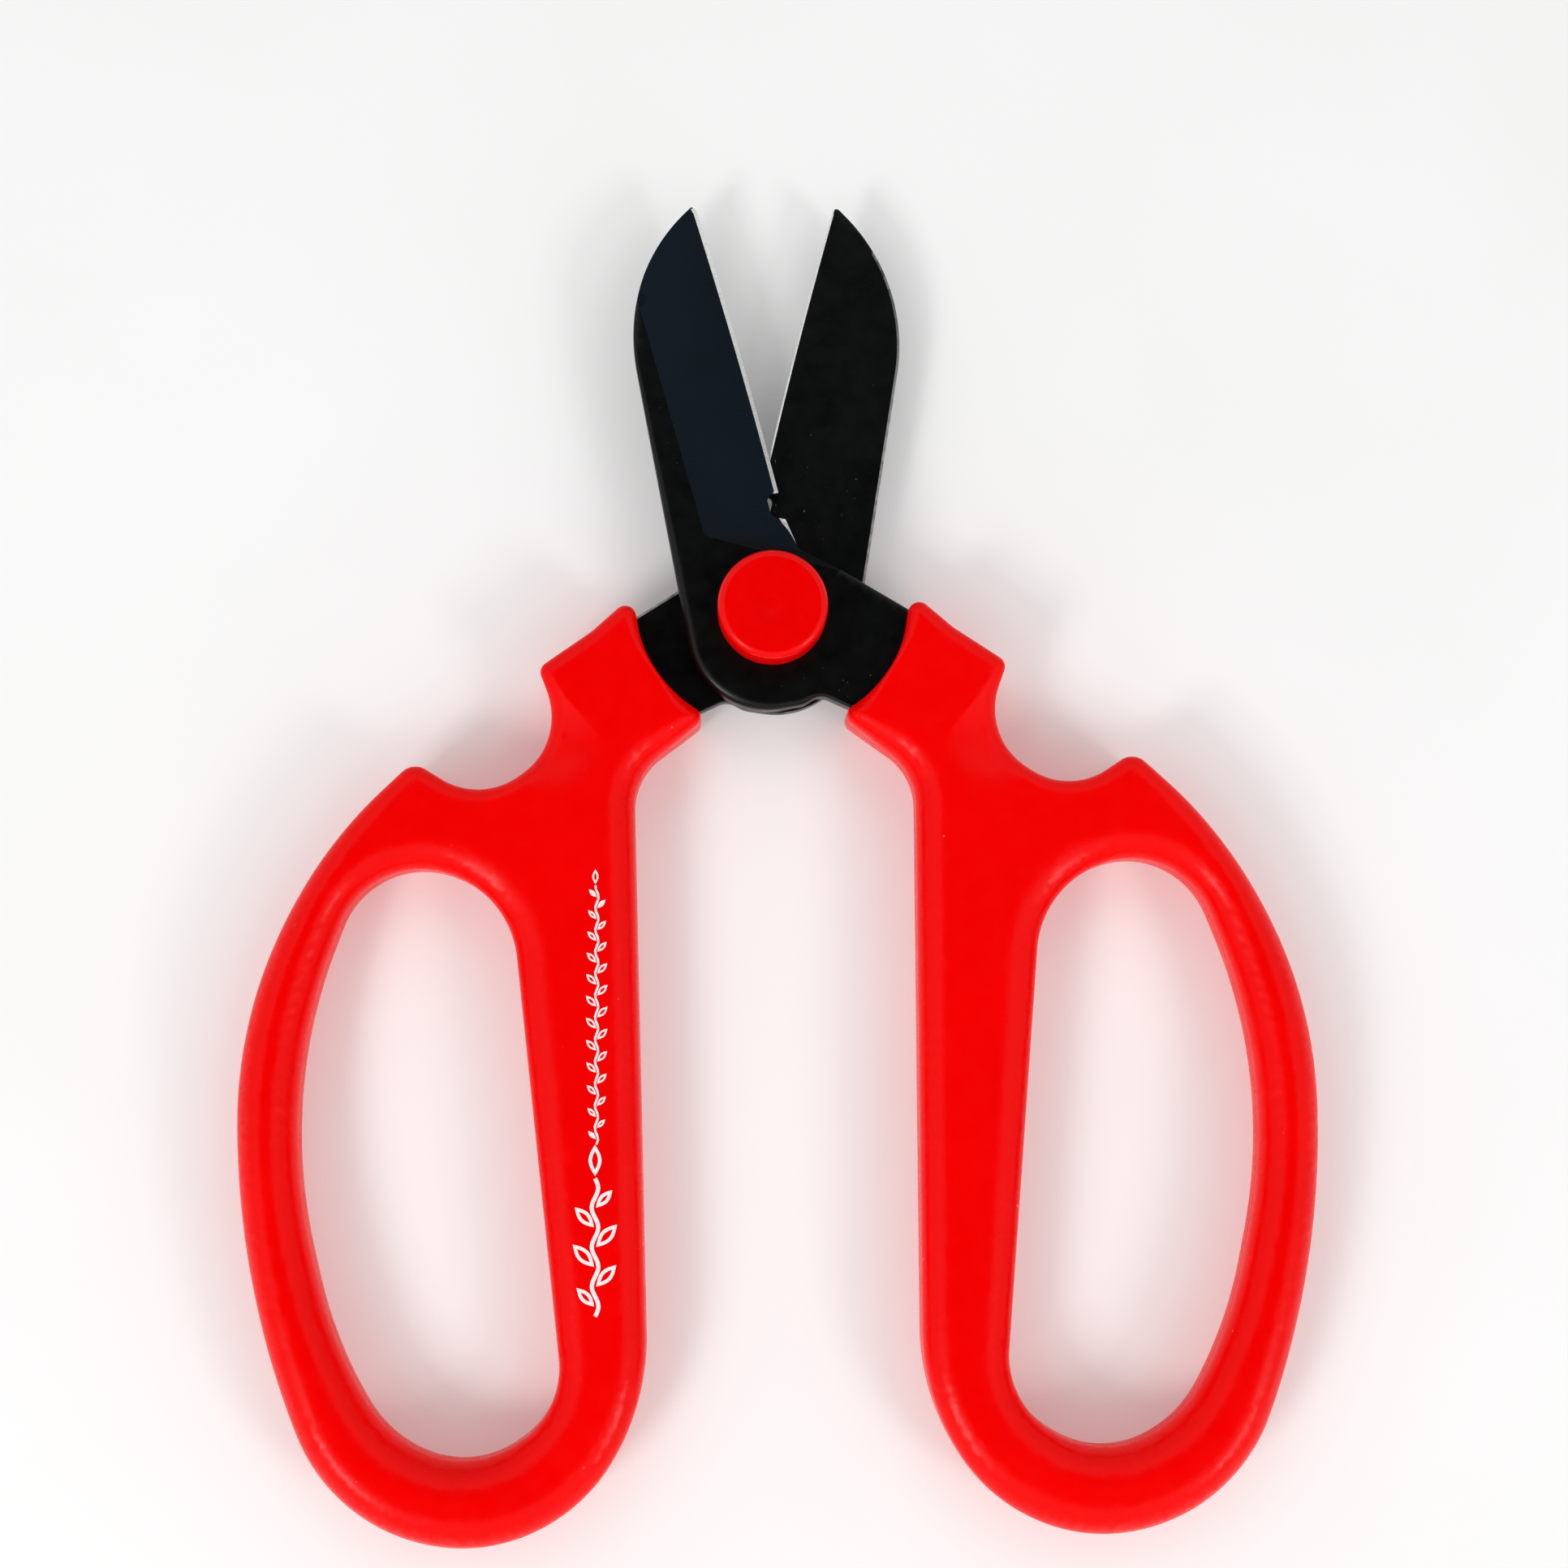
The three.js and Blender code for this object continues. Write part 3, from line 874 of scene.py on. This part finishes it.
def build_print(material, outer, loop):
    """The pale print on the left handle's bar: a sprig of leaves, a little proud of the plastic."""
    shapes = sprig_shapes(PRINT_START, PRINT_MIDDLE, **LARGE_SPRIG)
    shapes += sprig_shapes(PRINT_NEXT, PRINT_END, **SMALL_SPRIG)
    places, faces = [], []
    count = 0
    for outline, hole in shapes:
        rim = np.full((len(outline), 2), 0.1)
        loops = [(outline, rim, False)]
        points = outline
        if hole is not None:
            loops.append((hole, np.full((len(hole), 2), 0.1), True))
            points = np.concatenate([outline, hole])
        flat, triangles = triangulate(points, loops)
        surface = handle_height(flat, outer, loop)
        top = -(surface + PRINT_PROUD)
        below = -(surface - PRINT_PROUD)
        size = len(flat)
        places += [np.column_stack([flat, top]), np.column_stack([flat, below])]
        faces += [tuple(count + i for i in f[::-1]) for f in triangles]
        faces += [tuple(count + size + i for i in f) for f in triangles]
        faces += [(count + a, count + b, count + size + b, count + size + a)
                  for a, b in boundary_edges(triangles)]
        count += 2 * size
    mesh = bpy.data.meshes.new("leaf_print")
    mesh.from_pydata(np.concatenate(places).tolist(), [], faces)
    mesh.validate()
    place_half(mesh, True)
    leaf_print = add_object("leaf_print", mesh, [material])
    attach(leaf_print, "rear_half")


# ---------------------------------------------------------------- materials


class Nodes:
    """A short way to build one material's nodes."""

    def __init__(self, name):
        self.material = bpy.data.materials.new(name)
        self.material.use_nodes = True
        self.tree = self.material.node_tree
        self.shader = self.tree.nodes["Principled BSDF"]
        self.place = self.tree.nodes.new("ShaderNodeTexCoord").outputs["Object"]

    def add(self, kind, inputs=(), **settings):
        node = self.tree.nodes.new(kind)
        for key, value in settings.items():
            setattr(node, key, value)
        for key, value in dict(inputs).items():
            if isinstance(value, bpy.types.NodeSocket):
                self.tree.links.new(value, node.inputs[key])
            else:
                node.inputs[key].default_value = value
        return node

    def noise(self, scale, detail=2.0, roughness=0.5, place=None):
        inputs = {"Vector": place or self.place, "Scale": scale, "Detail": detail, "Roughness": roughness}
        return self.add("ShaderNodeTexNoise", inputs).outputs["Fac"]

    def stretched(self, scale, turn=0.0):
        inputs = {"Vector": self.place, "Scale": scale, "Rotation": (0, 0, turn)}
        return self.add("ShaderNodeMapping", inputs).outputs["Vector"]

    def ramp(self, value, low, high, to_low=0.0, to_high=1.0):
        inputs = {"Value": value, "From Min": low, "From Max": high, "To Min": to_low, "To Max": to_high}
        return self.add("ShaderNodeMapRange", inputs).outputs["Result"]

    def mix(self, share, first, second):
        node = self.add("ShaderNodeMix", {"Factor": share}, data_type="RGBA")
        for socket, value in ((node.inputs[6], first), (node.inputs[7], second)):
            if isinstance(value, bpy.types.NodeSocket):
                self.tree.links.new(value, socket)
            else:
                socket.default_value = value
        return node.outputs[2]

    def bump(self, height, strength, distance, below=None):
        inputs = {"Height": height, "Strength": strength, "Distance": distance}
        if below:
            inputs["Normal"] = below
        return self.add("ShaderNodeBump", inputs).outputs["Normal"]

    def finish(self, **inputs):
        for key, value in inputs.items():
            socket = self.shader.inputs[key.replace("_", " ")]
            if isinstance(value, bpy.types.NodeSocket):
                self.tree.links.new(value, socket)
            else:
                socket.default_value = value
        return self.material


def srgb(red, green, blue):
    """A colour given as it shows on a screen, 0 to 255."""
    def linear(value):
        value /= 255
        return value / 12.92 if value <= 0.04045 else ((value + 0.055) / 1.055) ** 2.4

    return (linear(red), linear(green), linear(blue), 1.0)


def handle_material():
    """Satin red moulded plastic with a spark-eroded grain, faint flow marks and a few pale specks."""
    nodes = Nodes("handle_plastic")
    flow = nodes.ramp(nodes.noise(55, 3.0), 0.35, 0.65)
    colour = nodes.mix(flow, srgb(240, 0, 0), srgb(245, 1, 1))
    specks = nodes.ramp(nodes.noise(900, 1.0), 0.80, 0.83)
    colour = nodes.mix(specks, colour, srgb(255, 110, 105))
    grain = nodes.noise(3800, 2.0, 0.6)
    wave = nodes.noise(160, 2.0)
    normal = nodes.bump(wave, 0.25, 0.00012)
    normal = nodes.bump(grain, 0.35, 0.00002, normal)
    rough = nodes.ramp(nodes.noise(420, 3.0), 0.3, 0.7, 0.22, 0.32)
    return nodes.finish(Base_Color=colour, Roughness=rough, Normal=normal, Specular_IOR_Level=0.1)


def cap_material():
    """The same red, moulded smoother."""
    nodes = Nodes("cap_plastic")
    flow = nodes.ramp(nodes.noise(120, 3.0), 0.35, 0.65)
    colour = nodes.mix(flow, srgb(236, 0, 0), srgb(240, 1, 1))
    normal = nodes.bump(nodes.noise(320, 2.0), 0.2, 0.00005)
    normal = nodes.bump(nodes.noise(5000, 1.0), 0.2, 0.00001, normal)
    rough = nodes.ramp(nodes.noise(700, 2.0), 0.3, 0.7, 0.20, 0.28)
    return nodes.finish(Base_Color=colour, Roughness=rough, Normal=normal, Specular_IOR_Level=0.14)


def coating_material():
    """Black non-stick coating over blasted steel, with scattered bright nicks."""
    nodes = Nodes("blade_coating")
    patch = nodes.ramp(nodes.noise(140, 4.0), 0.35, 0.65)
    colour = nodes.mix(patch, srgb(3, 4, 4), srgb(7, 8, 8))
    where = nodes.ramp(nodes.noise(70, 2.0), 0.50, 0.60)
    nick = nodes.ramp(nodes.noise(2100, 2.0, 0.6), 0.73, 0.78)
    nick = nodes.add("ShaderNodeMath", {0: nick, 1: where}, operation="MULTIPLY").outputs[0]
    colour = nodes.mix(nick, colour, srgb(120, 122, 125))
    normal = nodes.bump(nodes.noise(4200, 3.0, 0.65), 0.6, 0.000014)
    rough = nodes.ramp(nodes.noise(500, 3.0), 0.3, 0.7, 0.26, 0.34)
    return nodes.finish(Base_Color=colour, Roughness=rough, Normal=normal, Specular_IOR_Level=0.22)


def ground_steel_material():
    """The same coating over the ground face: bluer, smoother and finely lined across the blade."""
    nodes = Nodes("ground_face")
    lines = nodes.noise(1.0, 3.0, 0.7, nodes.stretched((300, 9000, 300), 0.18))
    patch = nodes.ramp(nodes.noise(70, 2.0), 0.35, 0.65)
    colour = nodes.mix(patch, srgb(3, 14, 22), srgb(6, 18, 28))
    fine = nodes.ramp(lines, 0.62, 0.74)
    colour = nodes.mix(fine, colour, srgb(14, 26, 36))
    normal = nodes.bump(lines, 0.3, 0.00001)
    rough = nodes.ramp(lines, 0.3, 0.7, 0.24, 0.32)
    return nodes.finish(Base_Color=colour, Roughness=rough, Normal=normal, Specular_IOR_Level=0.1)


def bare_steel_material():
    """Freshly honed steel: pale, with fine honing lines and dark specks of coating left behind."""
    nodes = Nodes("honed_edge")
    lines = nodes.noise(1.0, 2.0, 0.6, nodes.stretched((900, 7000, 900), 0.25))
    colour = nodes.mix(nodes.ramp(lines, 0.3, 0.7), srgb(205, 206, 205), srgb(240, 240, 238))
    left = nodes.ramp(nodes.noise(1500, 3.0, 0.7), 0.66, 0.70)
    colour = nodes.mix(left, colour, srgb(60, 60, 62))
    normal = nodes.bump(lines, 0.3, 0.00001)
    metal = nodes.ramp(left, 0.0, 1.0, 0.55, 0.1)
    rough = nodes.ramp(lines, 0.3, 0.7, 0.28, 0.42)
    return nodes.finish(Base_Color=colour, Roughness=rough, Normal=normal, Metallic=metal)


def pale_band_material():
    """A grey band along the spine and tang, paler towards the pivot, with mid-grey streaks."""
    nodes = Nodes("pale_spine_band")
    height = nodes.add("ShaderNodeSeparateXYZ", {0: nodes.place}).outputs["Y"]
    # Pale grey near the pivot, darker grey further up the blade.
    near_pivot = nodes.ramp(height, 0.040, 0.016)
    grey = nodes.mix(near_pivot, srgb(60, 61, 62), srgb(168, 168, 165))
    streak = nodes.ramp(nodes.noise(900, 3.0, 0.6), 0.40, 0.62)
    colour = nodes.mix(streak, grey, srgb(120, 120, 119))
    normal = nodes.bump(nodes.noise(2600, 2.0), 0.4, 0.00001)
    rough = nodes.ramp(streak, 0.0, 1.0, 0.40, 0.55)
    return nodes.finish(Base_Color=colour, Roughness=rough, Normal=normal, Metallic=0.4)


def black_bolt_material():
    """Black oxide on turned steel: rings round the axis, and a browner tone where it has rubbed."""
    nodes = Nodes("black_oxide")
    rings = nodes.add("ShaderNodeTexWave", {"Vector": nodes.place, "Scale": 900.0, "Distortion": 1.2,
                      "Detail": 2.0}, wave_type="RINGS", rings_direction="Z").outputs["Fac"]
    rub = nodes.ramp(nodes.noise(260, 4.0, 0.7), 0.45, 0.7)
    colour = nodes.mix(rub, srgb(20, 20, 22), srgb(44, 41, 40))
    normal = nodes.bump(rings, 0.25, 0.00001)
    rough = nodes.ramp(nodes.noise(600, 2.0), 0.3, 0.7, 0.32, 0.46)
    return nodes.finish(Base_Color=colour, Roughness=rough, Normal=normal, Metallic=0.6)


def plated_steel_material():
    """Zinc-plated pressings, faintly mottled."""
    nodes = Nodes("zinc_plate")
    mottle = nodes.ramp(nodes.noise(800, 3.0), 0.3, 0.7)
    colour = nodes.mix(mottle, srgb(178, 181, 186), srgb(205, 207, 208))
    normal = nodes.bump(nodes.noise(3000, 2.0), 0.2, 0.00001)
    rough = nodes.ramp(mottle, 0.0, 1.0, 0.24, 0.38)
    return nodes.finish(Base_Color=colour, Roughness=rough, Normal=normal, Metallic=1.0)


def washer_material():
    """Milky nylon, marked with arcs where the blades slide on it."""
    nodes = Nodes("nylon_washer")
    arcs = nodes.add("ShaderNodeTexWave", {"Vector": nodes.place, "Scale": 1500.0, "Distortion": 3.0,
                     "Detail": 2.0}, wave_type="RINGS", rings_direction="Z").outputs["Fac"]
    colour = nodes.mix(nodes.ramp(arcs, 0.7, 1.0), srgb(226, 225, 216), srgb(190, 188, 178))
    normal = nodes.bump(arcs, 0.2, 0.00001)
    rough = nodes.ramp(arcs, 0.0, 1.0, 0.45, 0.6)
    return nodes.finish(Base_Color=colour, Roughness=rough, Normal=normal)


def print_material():
    """Pad-printed white ink, thin enough in places for the red to show."""
    nodes = Nodes("white_ink")
    thin = nodes.ramp(nodes.noise(2400, 3.0, 0.7), 0.60, 0.70)
    colour = nodes.mix(thin, srgb(250, 236, 236), srgb(252, 150, 150))
    normal = nodes.bump(nodes.noise(4200, 2.0), 0.3, 0.00001)
    rough = nodes.ramp(thin, 0.0, 1.0, 0.5, 0.62)
    return nodes.finish(Base_Color=colour, Roughness=rough, Normal=normal, Specular_IOR_Level=0.3)


def floor_material():
    """A matte white sheet, lit a little from below like a light table."""
    nodes = Nodes("white_sheet")
    cloud = nodes.ramp(nodes.noise(14, 3.0), 0.3, 0.7)
    colour = nodes.mix(cloud, (0.82, 0.82, 0.815, 1), (0.85, 0.85, 0.85, 1))
    rough = nodes.ramp(cloud, 0.0, 1.0, 0.8, 0.9)
    return nodes.finish(Base_Color=colour, Roughness=rough, Specular_IOR_Level=0.1,
                        Emission_Color=(1, 1, 1, 1), Emission_Strength=0.12)


# ---------------------------------------------------------------- floor, light and camera


def build_floor(material):
    """One large pale sheet under the snips."""
    corners = [(-1, -1), (1, -1), (1, 1), (-1, 1)]
    places = [(x * FLOOR_HALF_WIDTH, y * FLOOR_HALF_WIDTH, FLOOR_HEIGHT) for x, y in corners]
    mesh = bpy.data.meshes.new("floor")
    mesh.from_pydata(places, [], [(0, 1, 2, 3)])
    add_object("floor", mesh, [material])


def area_light(name, place, size, power):
    """A square soft light that faces the pivot."""
    data = bpy.data.lights.new(name, "AREA")
    data.shape = "SQUARE"
    data.size = size
    data.energy = power
    light = bpy.data.objects.new(name, data)
    light.location = place
    light.rotation_euler = Vector(place).to_track_quat("Z", "Y").to_euler()
    bpy.context.scene.collection.objects.link(light)


def build_light():
    """Two low lights, and a dome of soft light that is dark at the top, behind the camera."""
    area_light("low_left", **LOW_LEFT_LIGHT)
    area_light("low_right", **LOW_RIGHT_LIGHT)
    world = bpy.data.worlds.new("studio")
    bpy.context.scene.world = world
    world.use_nodes = True
    tree = world.node_tree
    background = tree.nodes["Background"]
    place = tree.nodes.new("ShaderNodeTexCoord")
    split = tree.nodes.new("ShaderNodeSeparateXYZ")
    ramp = tree.nodes.new("ShaderNodeValToRGB")
    ends = (DOME_STOPS[0], DOME_STOPS[-1])
    for element, (height, value) in zip(ramp.color_ramp.elements, ends):
        element.position, element.color = height, (value, value, value, 1)
    for height, value in DOME_STOPS[1:-1]:
        ramp.color_ramp.elements.new(height).color = (value, value, value, 1)
    tree.links.new(place.outputs["Generated"], split.inputs[0])
    tree.links.new(split.outputs["Z"], ramp.inputs["Fac"])
    tree.links.new(ramp.outputs["Color"], background.inputs["Color"])
    background.inputs["Strength"].default_value = 1.0


def build_camera():
    """The camera, nearly overhead and a little towards the loops."""
    data = bpy.data.cameras.new("camera")
    data.sensor_width = 36
    data.lens = CAMERA_LENS
    data.clip_start = 0.01
    data.clip_end = 10
    camera = bpy.data.objects.new("camera", data)
    place = Vector(CAMERA_AT) * MM
    back = (place - Vector(CAMERA_LOOKS_AT) * MM).normalized()
    right = Vector((0, 1, 0)).cross(back).normalized()
    up = back.cross(right)
    basis = Matrix((right, up, back)).transposed().to_4x4()
    camera.matrix_world = Matrix.Translation(place) @ basis @ Matrix.Rotation(CAMERA_ROLL, 4, "Z")
    bpy.context.scene.collection.objects.link(camera)
    bpy.context.scene.camera = camera


# ---------------------------------------------------------------- the whole scene

handle_outer, handle_loop = build_handles(handle_material())
build_blades([
    coating_material(),
    ground_steel_material(),
    bare_steel_material(),
    pale_band_material(),
])
build_cap(cap_material())
build_bolt(black_bolt_material())
zinc = plated_steel_material()
dress_frame_nodes({
    "blade_washer": washer_material(),
    "flat_washer": zinc,
    "spring_washer": zinc,
    "pivot_nut": zinc,
})
build_print(print_material(), handle_outer, handle_loop)
build_floor(floor_material())
build_light()
build_camera()

scene = bpy.context.scene
scene.view_settings.view_transform = "Standard"
scene.view_settings.look = "None"
